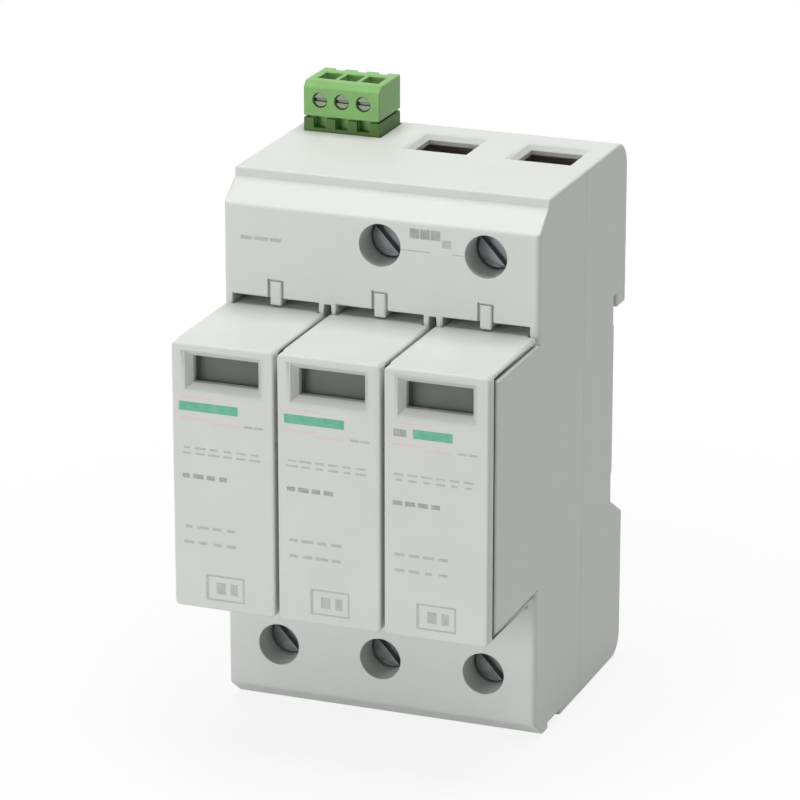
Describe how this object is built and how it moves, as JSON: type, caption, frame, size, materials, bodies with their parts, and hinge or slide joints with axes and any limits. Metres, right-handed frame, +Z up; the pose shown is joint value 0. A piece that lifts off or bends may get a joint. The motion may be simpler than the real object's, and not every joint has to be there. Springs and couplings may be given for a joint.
{
  "type": "din rail surge arrester",
  "caption": "Boxy light grey surge arrester for a mounting rail, with pull-out plugs with status windows, screw terminals above and below and a green signal connector.",
  "frame": {"origin": "middle of the rail seat: centre of the width, on the plane that meets the rail, on the rail's centre line", "axes": "+X along the rail to the viewer's right, +Y from the front towards the rail, +Z up"},
  "size_m": [0.0534, 0.0655, 0.0983],
  "materials": {
    "housing": "fine moulded texture",
    "plug_shell": "fine moulded texture",
    "window": "smoked, glossy",
    "flag": "moulded",
    "varistor": "dipped coating",
    "latch": "moulded",
    "dark_plastic": "moulded",
    "connector": "moulded",
    "header": "moulded",
    "board": "solder mask",
    "copper": "rolled copper",
    "tinned": "tin plated",
    "zinc": "zinc plated"
  },
  "bodies": {
    "base": {"front_housing": "housing", "rear_housing": "housing", "pe_busbar": "copper", "pe_clip_1": "tinned", "pe_clip_2": "tinned", "pe_clip_3": "tinned", "line_bar_1": "copper", "line_bar_2": "copper", "line_bar_3": "copper", "line_clip_1": "tinned", "line_clip_2": "tinned", "line_clip_3": "tinned", "signal_socket": "header", "signal_pins": "tinned", "signal_board": "board", "signal_switch": "dark_plastic", "latch_spring": "zinc"},
    "latch": {"rail_latch": "latch"},
    "signal_plug": {"signal_plug": "connector", "signal_clamps": "tinned"},
    "screw_1": {"terminal_screw_1": "zinc"},
    "cage_1": {"clamp_cage_1": "zinc"},
    "screw_2": {"terminal_screw_2": "zinc"},
    "cage_2": {"clamp_cage_2": "zinc"},
    "screw_3": {"terminal_screw_3": "zinc"},
    "cage_3": {"clamp_cage_3": "zinc"},
    "screw_4": {"terminal_screw_4": "zinc"},
    "cage_4": {"clamp_cage_4": "zinc"},
    "screw_5": {"terminal_screw_5": "zinc"},
    "cage_5": {"clamp_cage_5": "zinc"},
    "signal_screw_1": {"signal_screw_1": "zinc"},
    "signal_screw_2": {"signal_screw_2": "zinc"},
    "signal_screw_3": {"signal_screw_3": "zinc"},
    "plug_1": {"plug_1_housing": "plug_shell", "plug_1_base": "plug_shell", "plug_1_window": "window", "plug_1_spring": "zinc", "plug_1_varistor": "varistor", "plug_1_blade_upper": "tinned", "plug_1_blade_lower": "tinned"},
    "flag_1": {"plug_1_flag": "flag"},
    "plug_2": {"plug_2_housing": "plug_shell", "plug_2_base": "plug_shell", "plug_2_window": "window", "plug_2_spring": "zinc", "plug_2_varistor": "varistor", "plug_2_blade_upper": "tinned", "plug_2_blade_lower": "tinned"},
    "flag_2": {"plug_2_flag": "flag"},
    "plug_3": {"plug_3_housing": "plug_shell", "plug_3_base": "plug_shell", "plug_3_window": "window", "plug_3_spring": "zinc", "plug_3_varistor": "varistor", "plug_3_blade_upper": "tinned", "plug_3_blade_lower": "tinned"},
    "flag_3": {"plug_3_flag": "flag"}
  },
  "joints": [
    {"name": "terminal_screw_1_turn", "type": "hinge", "parent": "base", "child": "screw_1", "pos_m": [0, -0.033, 0.0342], "axis": [0, 1, 0], "range_deg": [0, 3600]},
    {"name": "clamp_cage_1_slide", "type": "slide", "parent": "base", "child": "cage_1", "axis": [0, -1, 0], "range_m": [0, 0.008]},
    {"name": "terminal_screw_2_turn", "type": "hinge", "parent": "base", "child": "screw_2", "pos_m": [0.0178, -0.033, 0.0342], "axis": [0, 1, 0], "range_deg": [0, 3600]},
    {"name": "clamp_cage_2_slide", "type": "slide", "parent": "base", "child": "cage_2", "axis": [0, -1, 0], "range_m": [0, 0.008]},
    {"name": "terminal_screw_3_turn", "type": "hinge", "parent": "base", "child": "screw_3", "pos_m": [-0.0178, -0.033, -0.0359], "axis": [0, 1, 0], "range_deg": [0, 3600]},
    {"name": "clamp_cage_3_slide", "type": "slide", "parent": "base", "child": "cage_3", "axis": [0, -1, 0], "range_m": [0, 0.008]},
    {"name": "terminal_screw_4_turn", "type": "hinge", "parent": "base", "child": "screw_4", "pos_m": [0, -0.033, -0.0359], "axis": [0, 1, 0], "range_deg": [0, 3600]},
    {"name": "clamp_cage_4_slide", "type": "slide", "parent": "base", "child": "cage_4", "axis": [0, -1, 0], "range_m": [0, 0.008]},
    {"name": "terminal_screw_5_turn", "type": "hinge", "parent": "base", "child": "screw_5", "pos_m": [0.0178, -0.033, -0.0359], "axis": [0, 1, 0], "range_deg": [0, 3600]},
    {"name": "clamp_cage_5_slide", "type": "slide", "parent": "base", "child": "cage_5", "axis": [0, -1, 0], "range_m": [0, 0.008]},
    {"name": "rail_latch_slide", "type": "slide", "parent": "base", "child": "latch", "axis": [0, 0, -1], "range_m": [0, 0.004], "stiffness_N_per_m": 800, "springref_m": -0.002, "deforming": ["latch_spring"]},
    {"name": "signal_plug_pull", "type": "slide", "parent": "base", "child": "signal_plug", "axis": [0, 0, 1], "range_m": [0, 0.01]},
    {"name": "signal_screw_1_turn", "type": "hinge", "parent": "signal_plug", "child": "signal_screw_1", "pos_m": [-0.02191, -0.0081, 0.0485], "axis": [0, 1, 0], "range_deg": [0, 1440]},
    {"name": "signal_screw_2_turn", "type": "hinge", "parent": "signal_plug", "child": "signal_screw_2", "pos_m": [-0.0181, -0.0081, 0.0485], "axis": [0, 1, 0], "range_deg": [0, 1440]},
    {"name": "signal_screw_3_turn", "type": "hinge", "parent": "signal_plug", "child": "signal_screw_3", "pos_m": [-0.01429, -0.0081, 0.0485], "axis": [0, 1, 0], "range_deg": [0, 1440]},
    {"name": "plug_1_pull", "type": "slide", "parent": "base", "child": "plug_1", "axis": [0, -1, 0], "range_m": [0, 0.045]},
    {"name": "plug_1_flag_drop", "type": "slide", "parent": "plug_1", "child": "flag_1", "axis": [0, 0, -1], "range_m": [0, 0.006], "deforming": ["plug_1_spring"]},
    {"name": "plug_2_pull", "type": "slide", "parent": "base", "child": "plug_2", "axis": [0, -1, 0], "range_m": [0, 0.045]},
    {"name": "plug_2_flag_drop", "type": "slide", "parent": "plug_2", "child": "flag_2", "axis": [0, 0, -1], "range_m": [0, 0.006], "deforming": ["plug_2_spring"]},
    {"name": "plug_3_pull", "type": "slide", "parent": "base", "child": "plug_3", "axis": [0, -1, 0], "range_m": [0, 0.045]},
    {"name": "plug_3_flag_drop", "type": "slide", "parent": "plug_3", "child": "flag_3", "axis": [0, 0, -1], "range_m": [0, 0.006], "deforming": ["plug_3_spring"]}
  ],
  "couplings": [
    {"joint": "terminal_screw_1_turn", "follows": "clamp_cage_1_slide", "rad_per_m": 7854},
    {"joint": "terminal_screw_2_turn", "follows": "clamp_cage_2_slide", "rad_per_m": 7854},
    {"joint": "terminal_screw_3_turn", "follows": "clamp_cage_3_slide", "rad_per_m": 7854},
    {"joint": "terminal_screw_4_turn", "follows": "clamp_cage_4_slide", "rad_per_m": 7854},
    {"joint": "terminal_screw_5_turn", "follows": "clamp_cage_5_slide", "rad_per_m": 7854}
  ]
}
